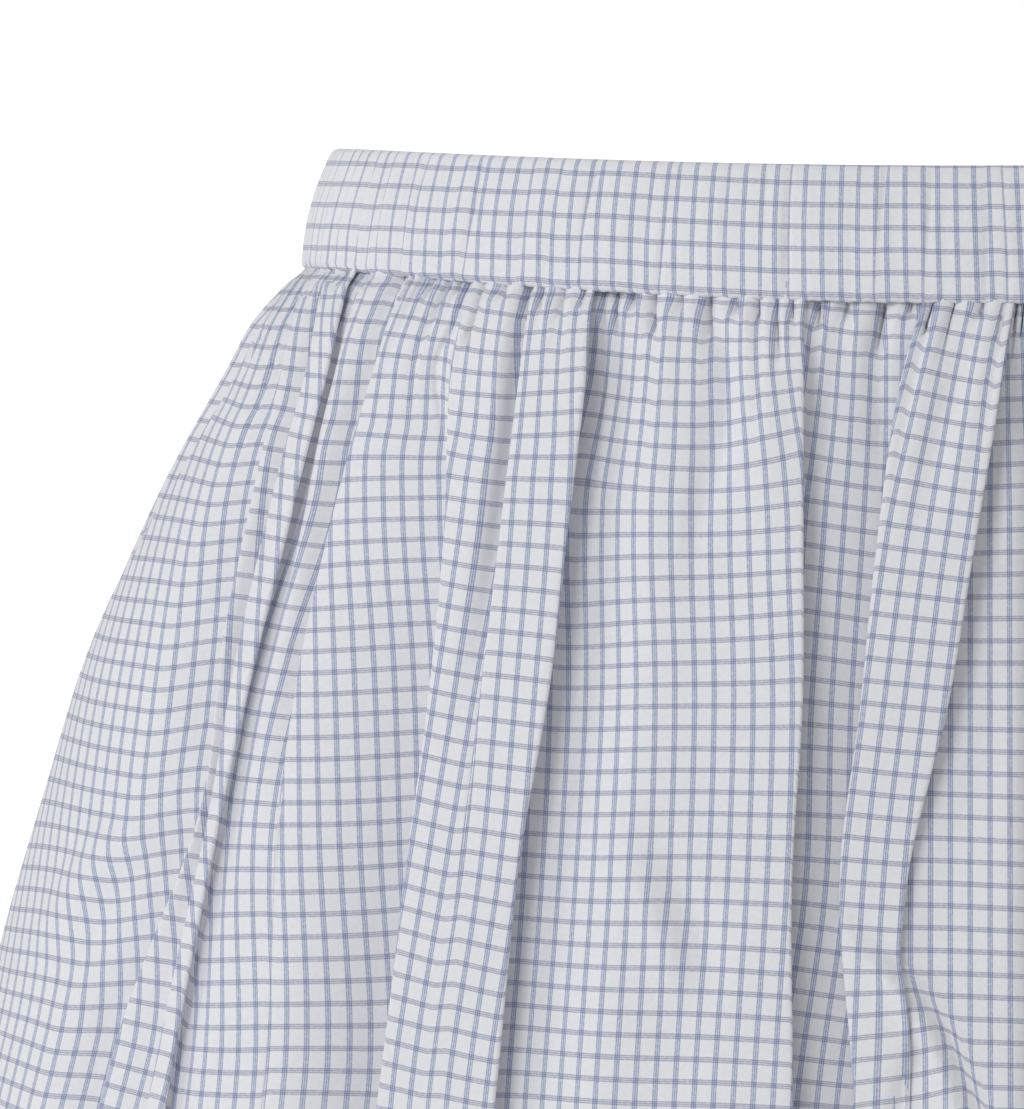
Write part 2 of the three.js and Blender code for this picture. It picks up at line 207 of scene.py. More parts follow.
# Range and number of the steps in which the angle of a fold's turns is found.
LEAST_ANGLE = 0.02
HALVINGS = 40

# Least depth and tuck of a fold, the most depth for its tuck, and the room kept beside its foot and
# its hidden layer.
LEAST_DEPTH = 0.01
LEAST_TUCK = 0.004
DEPTH_FOR_TUCK = 3
FOOT_ROOM = 1
UNDER_ROOM = 0.6

# Share of the way to the next fold that a fold may fill, alone or with a fold that meets it.
OWN_ROOM = 0.85
SHARED_ROOM = 0.5

# A panel keeps its depth over this distance from a fold, or over this share of its width, and comes
# up within the next share of its width. The power shapes a crisp one.
HOLD = 1.2
HOLD_SHARE = 0.1
BANK_SHARE = 0.95
CRISP_POWER = 1.5
PANEL_POINTS = 40

# Least cloth that the mesh gives a fold, least tuck, and how softly a tuck runs out.
MIN_FOLD = 4
MIN_TUCK = 0.2
SOFT_TUCK = 2.5

# Part of a fold's hidden curve where cloth that has no room in it is crowded.
CROWDED = (0.3, 0.7)

# Spare cloth that the small gathers take up at the seam, per length, and where they have let it go.
GATHERED = 0.28
GATHER_REACH = 46


def smooth_at(xs, ys, x):
    """Value at x of a smooth curve through the points (xs, ys), flat past its ends."""
    xs, ys = np.asarray(xs, float), np.asarray(ys, float)
    x = np.clip(x, xs[0], xs[-1])
    low = np.clip(np.searchsorted(xs, x) - 1, 0, len(xs) - 2)
    before = np.maximum(np.arange(len(xs)) - 1, 0)
    after = np.minimum(np.arange(len(xs)) + 1, len(xs) - 1)
    slope = (ys[after] - ys[before]) / (xs[after] - xs[before])
    width = xs[low + 1] - xs[low]
    u = (x - xs[low]) / width
    start = (1 + 2 * u) * (1 - u) ** 2 * ys[low] + u * (1 - u) ** 2 * width * slope[low]
    end = u * u * (3 - 2 * u) * ys[low + 1] + u * u * (u - 1) * width * slope[low + 1]
    return start + end


def ease(start, end, x):
    """Smooth change from 0 at start to 1 at end."""
    u = np.clip((x - start) / (end - start), 0, 1)
    return u * u * (3 - 2 * u)


def scatter(number, factor, start=0):
    """Values from -1 to 1 for whole numbers, in no order that shows."""
    return np.sin(factor * number + start)


def dip_share(forward, edge):
    """Share of an edge's dip: 1 at the centre front, 0 at the sides and at the centre back."""
    early = EARLY[edge]
    return np.where(forward > 0, early * forward + (1 - early) * forward**2, early * forward * (1 + forward))


class Body:
    """The smooth form under the folds of one half, as rings by distance below the seam."""

    def __init__(self, half):
        self.half = half
        self.sign = -1 if half == "front" else 1
        angle = np.linspace(-math.pi / 2, math.pi / 2, OVAL_STEPS + 1)
        self.across = np.sin(angle)
        self.forward = -self.sign * np.cos(angle)
        self.depths = BODY_DEPTH[half]
        drops = [np.zeros(OVAL_STEPS + 1)]
        for _ in range(PANEL_LENGTH + 1):
            drop = drops[-1]
            wider = self.width_at(drop + 1) - self.width_at(drop)
            deeper = self.depth_at(drop + 1) - self.depth_at(drop)
            slope = np.sqrt(1 + (wider * self.across) ** 2 + (deeper * self.forward) ** 2)
            drops.append(drop + 1 / slope)
        self.drops = np.array(drops)
        self.rings = {}

    def width_at(self, drop):
        return smooth_at(BODY_DROP, BODY_HALF_WIDTH, drop)

    def depth_at(self, drop):
        return smooth_at(BODY_DROP, self.depths, drop)

    def ring(self, v):
        """Distances round from the centre and the points of the ring v below the seam."""
        if v not in self.rings:
            level = min(max(v, 0), PANEL_LENGTH)
            low = int(level)
            drop = self.drops[low] + (level - low) * (self.drops[low + 1] - self.drops[low])
            x = self.width_at(drop) * self.across
            y = self.sign * self.depth_at(drop) * np.abs(self.forward)
            z = BAND_BOTTOM - BAND_BOTTOM_DIP * dip_share(self.forward, "seam") - drop
            step = np.hypot(np.diff(x), np.diff(y))
            distance = np.concatenate([[0], np.cumsum(step)])
            self.rings[v] = (distance - distance[-1] / 2, np.stack([x, y, z], 1))
        return self.rings[v]

    def reach(self, v):
        """Distance from the centre to the panel's side edge."""
        return self.ring(v)[0][-1] - SEAM_EASE

    def place(self, v, t, inward):
        """Points of the body at distances t round the ring v, moved inwards."""
        distance, points = self.ring(v)

        def at(where):
            return np.stack([np.interp(where, distance, points[:, k]) for k in range(3)], 1)

        along = at(t + 0.5) - at(t - 0.5)
        run = np.hypot(along[:, 0], along[:, 1])
        inner = np.stack([self.sign * along[:, 1], -self.sign * along[:, 0], np.zeros(len(run))], 1)
        return at(t) + inner / run[:, None] * inward[:, None]


def other_folds(v, quarter, spare, seed):
    """Folds of a quarter that the photo doesn't show, uneven in place, depth and cloth."""
    down = v / PANEL_LENGTH
    i = np.arange(OTHER_FOLDS)
    own = scatter(i, 3.1, seed * 0.6)
    lower = scatter(i, 1, 5 * down)
    weights = 1 + OTHER_TUCKS[0] * own + OTHER_TUCKS[1] * lower
    size = 1 + OTHER_DEPTHS[0] * own + OTHER_DEPTHS[1] * lower
    wander = OTHER_PLACES[0] * scatter(i, 2.3, seed) + OTHER_PLACES[1] * down * scatter(i, 1.9, seed * 1.7)
    faces = np.where(scatter(i, 4.7, seed) > OTHER_FACING, 1, -1)
    return [
        {
            "faces": int(faces[k]),
            "at": quarter * (k + 0.5 + wander[k]) / OTHER_FOLDS,
            "depth": OTHER_DEPTH * size[k] * (1 - OTHER_FADING * down),
            "tuck": spare * weights[k] / weights.sum(),
            "bank": WIDE_BANK if k % 3 else OTHER_BANK,
            "crisp": OTHER_CRISP,
            **dict.fromkeys(("sink", "rise", "turn", "swing"), 0),
        }
        for k in i
    ]


def left_folds(v, quarter):
    """Folds of the front's left quarter at height v, from the fold table."""
    folds = []
    for entry in LEFT_FOLDS.values():
        one = {key: float(smooth_at(HEIGHTS, row, v)) for key, row in entry["rows"].items()}
        one["depth"] = max(0, one["depth"])
        one["tuck"] = max(0, one["tuck"])
        folds.append({**one, "faces": entry["faces"], "crisp": entry["crisp"]})
    used = sum(one["tuck"] for one in folds)
    folds[-1]["tuck"] = max(0, PANEL_CLOTH["front"] / 2 - quarter - used)
    return folds


def folds_at(v, half, quarter):
    """The folds of a half at height v, from its left end to its right end."""
    spare = PANEL_CLOTH[half] / 2 - quarter
    if half == "front":
        left = left_folds(v, quarter)
    else:
        left = other_folds(v, quarter, spare, SEEDS[half]["left"])
    right = other_folds(v, quarter, spare, SEEDS[half]["right"])
    mirrored = [{**one, "at": -one["at"], "left": True} for one in reversed(left)]
    return mirrored + [{**one, "faces": -one["faces"], "left": False} for one in right]


def turn_angle(ratio):
    """Angle that both turns of a fold go through for a ratio of hidden cloth to depth."""
    low, high = LEAST_ANGLE, math.pi
    for _ in range(HALVINGS):
        middle = (low + high) / 2
        if (middle - math.sin(middle)) / (1 - math.cos(middle)) < ratio:
            low = middle
        else:
            high = middle
    return low


def fold_curve(tuck, depth, room):
    """A fold whose edge is at 0 and looks to plus, as points (x, depth) from its top layer, round the
    edge and back under it, to the lower layer below the edge."""
    tuck = max(tuck, LEAST_TUCK)
    depth = min(max(depth, LEAST_DEPTH), DEPTH_FOR_TUCK * tuck)
    angle = turn_angle(tuck / depth)
    both = depth / (1 - math.cos(angle))
    lip = min(LIP_RADIUS, both / 2)
    foot = min(both - lip, max(room - FOOT_ROOM, lip))
    both = lip + foot
    under = max(0, (tuck - both * (angle - math.sin(angle))) / (1 - math.cos(angle)))
    under = min(under, max(0, room - foot - UNDER_ROOM))
    turned = np.linspace(0, angle, LIP_POINTS)
    reach = lip * math.sin(min(angle, math.pi / 2))
    lip_part = np.stack([lip * np.sin(turned) - reach, lip * (1 - np.cos(turned))], 1)
    share = np.linspace(0, 1, UNDER_POINTS + 2)[1:-1, None]
    step = np.array([under * math.cos(angle), under * math.sin(angle)])
    under_part = lip_part[-1] + share * step
    start = lip_part[-1] + step
    back = np.linspace(angle, 0, FOOT_POINTS)
    foot_part = start + np.stack([
        foot * (math.sin(angle) - np.sin(back)),
        foot * (np.cos(back) - math.cos(angle)),
    ], 1)
    points = [lip_part, under_part, foot_part]
    if foot_part[-1, 0] < -SHORTEST_RETURN:
        rest = np.linspace(0, 1, RETURN_POINTS + 1)[1:, None]
        points.append(foot_part[-1] + rest * np.array([-foot_part[-1, 0], 0]))
    return np.concatenate(points)


class Section:
    """The cloth of one half at height v, as a line of cloth positions s with their t and depth."""

    def __init__(self, body, v):
        reach = body.reach(v)
        self.folds = folds_at(v, body.half, body.ring(v)[0][-1])
        self.centre = [one["left"] for one in self.folds].count(True)
        self.edges = [-reach] + [one["at"] for one in self.folds] + [reach]
        self.gathered = GATHERED * (1 - float(ease(0, GATHER_REACH, v)))
        self.set_rooms(SEAM_DEPTH + (1 - SEAM_DEPTH) * float(ease(0, DEPTH_FULL, v)))
        self.set_panels()
        self.draw()
        self.line = np.concatenate(self.stretches)
        self.line[:, 0] = np.maximum.accumulate(self.line[:, 0])

    def middle(self, i):
        """Where panel i keeps its place as the small gathers open."""
        return 0.0 if i == self.centre else (self.edges[i] + self.edges[i + 1]) / 2

    def set_rooms(self, opened):
        """Shapes each fold in the room that it has, with the tuck that the gathers leave it."""
        for i, one in enumerate(self.folds):
            other = i - one["faces"]
            edge = self.edges[i + 1 - one["faces"]]
            away = abs(one["at"] - edge)
            shared = 0 <= other < len(self.folds) and self.folds[other]["faces"] != one["faces"]
            room = away * (SHARED_ROOM if shared else OWN_ROOM) - UNDER_ROOM
            spread = self.gathered * (self.middle(i + 1) - self.middle(i))
            left = one["tuck"] - spread
            soft = SOFT_TUCK * min(1, spread)
            one["tuck"] = MIN_TUCK + (left + math.hypot(left, soft)) / 2
            one["curve"] = fold_curve(one["tuck"], one["depth"] * opened, room)
            one["low"] = one["curve"][-1, 1]

    def set_panels(self):
        """Depths at both ends of each panel, and how each comes up from them."""
        count = len(self.folds) + 1
        self.starts = [(0.0, 1.0, 0.0)] * count
        self.stops = [(0.0, 1.0, 0.0)] * count
        for i, one in enumerate(self.folds):
            upper = (one["sink"], 2 * one["bank"], 0.0)
            lower = (one["sink"] + one["low"], one["bank"], one["crisp"])
            right, left = (lower, upper) if one["faces"] > 0 else (upper, lower)
            self.starts[i + 1] = right
            self.stops[i] = left
        self.starts[0] = self.stops[-1] = (SEAM_INSET, SEAM_BANK, 0.0)

    def panel_depth(self, i, t):
        """Depth of panel i at t, held near its ends and coming up between them."""
        a, b = self.edges[i], self.edges[i + 1]
        hold = min(HOLD, HOLD_SHARE * (b - a))
        total = 0
        for (low, bank, crisp), away in ((self.starts[i], t - a), (self.stops[i], b - t)):
            reach = min(bank, BANK_SHARE * (b - a))
            u = np.clip((away - hold) / (reach - hold), 0, 1)
            soft = 1 - u * u * (3 - 2 * u)
            total = total + low * (soft + crisp * ((1 - u) ** CRISP_POWER - soft))
        return total

    def draw(self):
        """Fills self.stretches, panel and fold in turn, each with rows of s, t and depth."""
        self.stretches = []
        s, left = 0.0, self.edges[0]
        for i, one in enumerate(self.folds):
            curve = one["curve"] if one["faces"] > 0 else one["curve"][::-1] * np.array([-1, 1])
            t = curve[:, 0] + one["at"]
            upper = i if one["faces"] > 0 else i + 1
            covered = np.clip(t, self.edges[upper], self.edges[upper + 1])
            depth = curve[:, 1] + self.panel_depth(upper, covered)
            s = self.add_panel(i, s, left, t[0])
            along = np.concatenate([[0], np.cumsum(np.hypot(np.diff(t), np.diff(depth)))])
            length = max(t[-1] - t[0] + one["tuck"], MIN_TUCK)
            share = along / max(along[-1], TINY)
            crowded = max(length - along[-1], 0)
            cloth = s + share * (length - crowded) + crowded * ease(*CROWDED, share)
            self.stretches.append(np.stack([cloth, t, depth], 1))
            s += length
            left = t[-1]
        self.add_panel(len(self.folds), s, left, self.edges[-1])
        first = self.stretches[2 * self.centre][0]
        shift = first[1] * (1 + self.gathered) - first[0]
        for stretch in self.stretches:
            stretch[:, 0] += shift

    def add_panel(self, i, s, start, stop):
        """Adds the stretch of panel i and gives the cloth position at its end."""
        t = np.linspace(start, stop, PANEL_POINTS)
        cloth = s + (t - start) * (1 + self.gathered)
        self.stretches.append(np.stack([cloth, t, self.panel_depth(i, t)], 1))
        return cloth[-1]

    def cloth_at(self, i, t):
        """Cloth position at t on panel i, or on its straight continuation."""
        s, start = self.stretches[2 * i][0, :2]
        return s + (t - start) * (1 + self.gathered)

    def columns(self, counts):
        """Cloth positions of the mesh's columns, tied to the panels and folds."""
        ends = [self.line[0, 0]]
        samples = []
        for k in range(1, len(self.stretches), 2):
            s = self.stretches[k][:, 0]
            room = max(0, MIN_FOLD - (s[-1] - s[0])) / 2
            ends += [s[0] - room, s[-1] + room]
            share = np.linspace(0, 1, counts[k] + 1)
            where = share * (len(s) - 1)
            samples.append(np.interp(where, np.arange(len(s)), s) + room * (2 * share - 1))
        ends.append(self.line[-1, 0])
        tied = [[ends[0]]]
        for k, count in enumerate(counts):
            if k % 2:
                tied.append(samples[k // 2][1:])
            else:
                share = np.linspace(0, 1, count + 1)[1:]
                share -= EDGE_CROWD * np.sin(TURN * share) / TURN
                tied.append(ends[k] + share * (ends[k + 1] - ends[k]))
        return np.maximum.accumulate(np.concatenate(tied))


# Meshes of the panels.

# Rows of the mesh by distance below the seam, close together under the seam and at the drag creases.
ROW_STEPS = [
    (0, 12, 1), (12, 30, 1.8), (30, 60, 2.5), (60, 116, 4.7), (116, 162, 2.3), (162, 190, 5),
    (190, PANEL_LENGTH - 3, 13),
]
ROWS = np.concatenate([np.arange(*steps) for steps in ROW_STEPS] + [[PANEL_LENGTH]])

# Columns of the mesh: in a fold, and the width of cloth to one column of a panel, four to a gather.
FOLD_COLUMNS = {"shown": 14, "hidden": 8}
COLUMN_WIDTH = {"shown": 1.2, "hidden": 2.8}
GATHER_COLUMNS = 4

# How much closer together the columns of a panel are beside its folds.
EDGE_CROWD = 0.35

# Edge caught inside the waistband, in steps upwards and inwards, and how far in the cloth lies at the
# seam, with the distance over which it comes out from there.
TOP_STEPS = 2
TOP_STEP = 2.5
TOP_INWARD = 0.5
TOP_RECESS = 1.1
RECESS_REACH = 4

# Turned hem: cloth past its edge, distance below the edge, and share of the layer's distance inwards.
HEM_ROWS = [(0.5, 0.5, 0.45), (1.1, 0.1, 1), (3, -2.5, 1), (8, -7.5, 1), (HEM_TURN, -HEM_TURN, 1)]
HEM_LAYER = 0.75

# Allowance at a side seam: cloth past the seam, distance past it, and depth.
ALLOWANCE = [(0.2, 0.18, 0.02), (0.4, 0.15, 0.3), (1.1, -0.3, 0.9), (4, -3.2, 1), (SEAM_ALLOWANCE, -7.2, 1)]

# The woven rows stay square to leaning stripes: height over which a lean is measured, the steepest
# lean that counts, how much less it counts at the sides, and where it fades out towards the hem.
LEAN_STEP = 2
STEEPEST_LEAN = 0.3
SIDE_SHEAR = 0.65
SIDE_SHEAR_GROWS = (60, 150)
LEAN_FADES = (200, 320)

# Unevenness of the cloth and of its woven rows: its sizes, where it grows below the seam, and how far
# from the side seams it is at its full size.
WAVES = {"slow": 0.6, "quick": 0.2}
WAVES_GROW = (20, 90)
DRIFTS = {"slow": 0.3, "quick": 0.22}
DRIFTS_GROW = (0, 30)
CALM_SEAM = 12


def column_counts(body):
    """Column counts of panel, fold, panel and so on."""
    upper, lower = Section(body, HEIGHTS[1]), Section(body, HEIGHTS[3])
    counts = []
    for i in range(len(upper.edges) - 1):
        side = "shown" if body.half == "front" and i <= upper.centre else "hidden"
        width = max(one.edges[i + 1] - one.edges[i] for one in (upper, lower))
        groups = max(1, round(width / COLUMN_WIDTH[side] / GATHER_COLUMNS))
        counts += [GATHER_COLUMNS * groups, FOLD_COLUMNS[side]]
    return counts[:-1]


class Gathers:
    """Small nips of the cloth under the seam, with puffs between them, four columns to each."""

    # Depth of the deepest nip, the share of it at the seam itself, where it is whole, how it runs
    # out, how far down the nips run, one after the other, and the least share of the depth that one has.
    SLOT = 5
    SLOT_AT_SEAM = 0.3
    SLOT_FULL = 1.5
    SLOT_POWER = 0.6
    SLOT_LENGTHS = [4.5, 9, 3.5, 6.5, 12, 4, 7.5]
    LEAST_SLOT = 0.25

    # Depth of the crease that runs on below a nip, how far down the creases run, and how far the lengths
    # of both differ from these lists.
    CREASE = 0.9
    CREASE_LENGTHS = [12, 30, 9, 46, 16, 8, 34]
    LENGTH_SPREAD = 0.25

    # Shares of a nip's and of a crease's depth that the columns beside it have.
    BESIDE_SLOT = 0.1
    BESIDE_CREASE = 0.4

    # Share of the room that a nip closes and the most that it does, how far a puff between two nips
    # stands out, how far the woven rows tilt on it, and where the tilt begins.
    PINCH = 0.86
    MOST = 1
    PUFF = 0.65
    TILT = 0.75
    TILT_GROWS = (0, 3)

    def __init__(self, counts):
        place = [[-1]]
        for k, count in enumerate(counts):
            place.append(np.full(count, -1) if k % 2 else (np.arange(count) + 1) % GATHER_COLUMNS)
        place = np.concatenate(place)
        self.panel = place >= 0
        self.nips = np.flatnonzero(place == GATHER_COLUMNS // 2)
        number = np.arange(len(self.nips))
        vary = 1 + self.LENGTH_SPREAD * scatter(number, 2.1)
        self.slots = np.array(self.SLOT_LENGTHS)[number % len(self.SLOT_LENGTHS)] * vary
        self.creases = np.array(self.CREASE_LENGTHS)[number % len(self.CREASE_LENGTHS)] * vary
        size = self.LEAST_SLOT + (1 - self.LEAST_SLOT) * scatter(number, 1.7, 0.4) ** 2
        self.sizes = self.SLOT * size
        self.tilts = self.TILT * scatter(number, 2.3, 1.1)

    def apply(self, t, v):
        """The columns' places with the nips pinched, the depth that the gathers add, and how far the
        woven rows tilt on the puffs."""
        shut = np.clip(1 - v / self.slots, 0, 1) ** self.SLOT_POWER
        opened = self.SLOT_AT_SEAM + (1 - self.SLOT_AT_SEAM) * float(ease(0, self.SLOT_FULL, v))
        slot = self.sizes * shut * opened
        left = np.clip(1 - v / self.creases, 0, 1)
        crease = self.CREASE * left
        extra = np.zeros(len(t))
        tilt = np.zeros(len(t))
        extra[self.nips] += slot + crease
        moved = t.copy()
        for side in (-1, 1):
            extra[self.nips + side] += self.BESIDE_SLOT * slot + self.BESIDE_CREASE * crease
            room = np.abs(t[self.nips + side] - t[self.nips])
            moved[self.nips + side] -= side * shut * np.minimum(self.PINCH * room, self.MOST)
            extra[self.nips + 2 * side] -= self.PUFF / 2 * left
            tilt[self.nips + side] += side * self.tilts * left * float(ease(*self.TILT_GROWS, v))
        panel = self.panel
        extra[~panel] = np.interp(t[~panel], moved[panel], extra[panel])
        return moved, extra, tilt


def row_shift(section, upper, lower, step, counts, t):
    """How far the woven rows run off level on each panel, square to its leaning stripes."""
    shift = np.zeros(len(t))
    known = np.zeros(len(t), bool)
    ends = np.cumsum([0] + counts)
    for i in range(len(section.folds) + 1):
        columns = np.arange(ends[2 * i], ends[2 * i + 1] + 1)
        centre = (section.edges[i] + section.edges[i + 1]) / 2
        where = np.append(t[columns], centre)
        rate = (lower.cloth_at(i, where) - upper.cloth_at(i, where)) / step
        lean = np.clip(-rate / (1 + section.gathered), -STEEPEST_LEAN, STEEPEST_LEAN)
        square = 1 - SIDE_SHEAR * float(ease(*SIDE_SHEAR_GROWS, abs(centre)))
        shift[columns] = square * (lean[-1] + lean[:-1]) / 2 * (t[columns] - centre)
        for one in section.folds[max(i - 1, 0):i + 1]:
            shift[columns] += one["turn"] * (t[columns] - one["at"])
        if i > 0:
            shift[columns] += section.folds[i - 1]["swing"] * (t[columns] - section.edges[i])
        for k, facing in ((i - 1, 1), (i, -1)):
            if 0 <= k < len(section.folds) and section.folds[k]["faces"] == facing:
                one = section.folds[k]
                away = facing * (t[columns] - one["at"])
                shift[columns] += one["rise"] * (1 - ease(0, one["bank"], away))
        known[columns] = True
    index = np.arange(len(t))
    return np.interp(index, index[known], shift[known])


def waviness(s, v):
    """Slight unevenness of the falling cloth: waves whose lengths in millimetres don't fall in step."""
    slow = np.sin(s / 23 + v / 71 + 0.6) * np.sin(v / 39 + s / 57)
    quick = np.sin(s / 9.1 - v / 33) * np.sin(v / 19 + s / 41 + 1.3)
    return float(ease(*WAVES_GROW, v)) * (WAVES["slow"] * slow + WAVES["quick"] * quick)


def weave_drift(s, v):
    """Slight unevenness of the woven rows within the cloth, made in the same way."""
    slow, quick = np.sin(s / 13 + v / 37), np.sin(s / 7.3 - v / 29 + 1)
    return float(ease(*DRIFTS_GROW, v)) * (DRIFTS["slow"] * slow + DRIFTS["quick"] * quick)


# The largest drag crease: distances below the seam and from the centre front, and the heights between
# which it grows and fades.
DRAG_DOWN = [118, 126, 131, 140, 147, 156, 172]
DRAG_AT = [33, 29, 23, 15.6, 12.4, 8.8, 4]
DRAG_GROWS = (120, 148)
DRAG_FADES = (176, 250)

# How far it pulls the cloth sideways, over which distances from its crest the pull grows, and where
# the pull ends, from the centre front.
DRAG_PULL = 3
DRAG_EDGE = (-7, 1)
DRAG_ENDS = (17, 28)

# How steeply it lifts the woven rows, from the outer end of the pull and over which width.
DRAG_LIFT = 0.24
DRAG_LIFT_WIDTH = 18


def drag(t, v):
    """How far the drag crease moves the front's cloth sideways and lifts its rows, at distances t."""
    grown = float(ease(*DRAG_GROWS, v)) * (1 - float(ease(*DRAG_FADES, v)))
    crest = float(smooth_at(DRAG_DOWN, DRAG_AT, v))
    near = grown * ease(crest + DRAG_EDGE[0], crest + DRAG_EDGE[1], -t)
    pull = DRAG_PULL * near * (1 - ease(*DRAG_ENDS, -t))
    lift = DRAG_LIFT * near * np.clip(DRAG_ENDS[1] + t, 0, DRAG_LIFT_WIDTH)
    return pull, lift


# Soft hollows and drag creases of the front's left quarter. Each row has a width, some distances below
# the seam, and at those the distances from the centre front and the depths, less than 0 where the
# cloth stands out.
SWELLS = [
    (9, HEIGHTS, [57, 56, 55, 56, 60, 66, 80], [0, 1, 1.2, 0.8, 0.6, 1, 1.5]),
    (2, [0, 10, 20, 30, 48], [56, 54.3, 53.9, 54.4, 58], [0.7, 2.2, 2.6, 1.9, 0]),
    (5, [0, 10, 20, 35, 55], [48, 47, 46.5, 46, 46], [0, -0.8, -1, -0.8, 0]),
    (1.6, [18, 28, 48, 62], [57, 57.4, 59.3, 60], [0, 0.9, 0.8, 0]),
    (2.4, [0, 4, 19, 31, 50], [5.5, 6.4, 9.5, 12.6, 16], [0, 0.9, 1.3, 1, 0]),
    (1.7, [0, 8, 14, 24, 34], [24.6, 24.2, 24, 23.6, 24.2], [0.3, 1.5, 1.6, 1.3, 0]),
    (1.6, [0, 3, 14, 27, 36], [32.2, 32.4, 33, 34, 34.4], [0, 0.9, 0.9, 0.7, 0]),
    (3.6, [98, 114, 122, 130, 140], [80, 71, 68, 64.5, 63], [0, -0.9, -1.6, -1.5, 0]),
    (3.6, [98, 114, 122, 130, 140], [73, 64, 60, 57, 55], [0, 0.8, 1.5, 1.2, 0]),
    (2.6, DRAG_DOWN, DRAG_AT, [0, -0.8, -2, -2.6, -2.6, -2.2, 0]),
    (2.2, DRAG_DOWN, [28, 24, 18.4, 11.2, 8, 4.6, 1], [0, 0.5, 1.2, 1.6, 1.6, 1.4, 0]),
    (1.8, [143, 149, 156, 166], [15.4, 17, 19, 21], [0, 1.1, 1.3, 0]),
    (7, [118, 128, 138, 150], [184, 192, 200, 206], [0, -1.6, -1.4, 0]),
    (5, [122, 132, 144, 158], [180, 186, 192, 200], [0, 1.4, 1.4, 0]),
]


def swell_depth(t, v):
    """Depth of the swells at distances t round the front."""
    total = np.zeros_like(t)
    for width, heights, places, depths in SWELLS:
        away = (t + float(smooth_at(heights, places, v))) / width
        total += float(smooth_at(heights, depths, v)) * np.exp(-away * away)
    return total


def with_allowance(s, t, depth, level):
    """Adds the side seam allowance, turned in, to both ends of a row."""
    cloth, away, inward = np.array(ALLOWANCE).T
    s = np.concatenate([s[0] - cloth[::-1], s, s[-1] + cloth])
    t = np.concatenate([t[0] - away[::-1], t, t[-1] + away])
    depth = np.concatenate([depth[0] + inward[::-1], depth, depth[-1] + inward])
    return s, t, depth, np.pad(level, len(ALLOWANCE), mode="edge")


def panel_row(body, v, counts, gathers):
    """Points and cloth positions of a panel's row at height v."""
    section = Section(body, v)
    above, below = max(v - LEAN_STEP, 0), min(v + LEAN_STEP, PANEL_LENGTH)
    upper, lower = Section(body, float(above)), Section(body, float(below))
    s = section.columns(counts)
    line = section.line
    t = np.interp(s, line[:, 0], line[:, 1])
    depth = np.interp(s, line[:, 0], line[:, 2])
    shift = row_shift(section, upper, lower, below - above, counts, t)
    t, extra, tilt = gathers.apply(t, v)
    level = v + shift * (1 - float(ease(*LEAN_FADES, v))) + weave_drift(s, v) + tilt
    calm = ease(0, CALM_SEAM, np.minimum(s - s[0], s[-1] - s))
    depth = depth + (extra + waviness(s, v)) * calm
    if body.half == "front":
        pull, lift = drag(t, v)
        t = t + pull
        level = level + lift
        depth = depth + swell_depth(t, v) * calm
    depth = depth + TOP_RECESS * (1 - float(ease(0, RECESS_REACH, v)))
    s, t, depth, level = with_allowance(s, t, depth, level)
    return body.place(v, t, depth), np.stack([s, level], 1)


def skirt_grid(half):
    """Rows of points, hem first, and of cloth positions, for the panel of a half."""
    body = Body(half)
    counts = column_counts(body)
    gathers = Gathers(counts)
    rows = [panel_row(body, float(v), counts, gathers) for v in ROWS]
    points = np.stack([row[0] for row in rows])
    cloth = np.stack([row[1] for row in rows])
    points, cloth = with_top(points, cloth)
    points, cloth = with_hem(points, cloth, body.sign)
    points, cloth = points[::-1], cloth[::-1]
    if half == "back":
        points, cloth = points[:, ::-1], cloth[:, ::-1]
    return points, cloth


def with_top(points, cloth):
    """Adds the gathered edge that is caught inside the waistband."""
    inward = -points[0] * np.array([1, 1, 0])
    inward /= np.linalg.norm(inward, axis=1)[:, None]
    for _ in range(TOP_STEPS):
        row = points[0] + inward * TOP_INWARD + np.array([0, 0, TOP_STEP])
        edge = cloth[0] - np.array([0, TOP_STEP])
        points = np.concatenate([row[None], points])
        cloth = np.concatenate([edge[None], cloth])
    return points, cloth


def grid_normals(points, sign):
    """Unit normals of a grid of points, pointing into the skirt."""
    down = np.gradient(points, axis=0)
    along = np.gradient(points, axis=1)
    normal = np.cross(along, down) * -sign
    return normal / np.maximum(np.linalg.norm(normal, axis=2), TINY)[:, :, None]


def with_hem(points, cloth, sign):
    """Adds the hem, turned up once on the inside."""
    normals = grid_normals(points, sign)
    levels = np.concatenate([-TOP_STEP * np.arange(TOP_STEPS, 0, -1), ROWS])
    extra_points = []
    extra_cloth = []
    for length, lower, inward in HEM_ROWS:
        level = PANEL_LENGTH + min(lower, 0)
        above = int(np.searchsorted(levels, level, side="right")) - 1
        above = min(above, len(levels) - 2)
        share = (level - levels[above]) / (levels[above + 1] - levels[above])
        row = points[above] + share * (points[above + 1] - points[above])
        normal = normals[above] + share * (normals[above + 1] - normals[above])
        row = row + normal * HEM_LAYER * inward - np.array([0, 0, 1]) * max(lower, 0)
        extra_points.append(row)
        strip = cloth[-1].copy()
        strip[:, 1] += length
        extra_cloth.append(strip)
    return np.concatenate([points, extra_points]), np.concatenate([cloth, extra_cloth])


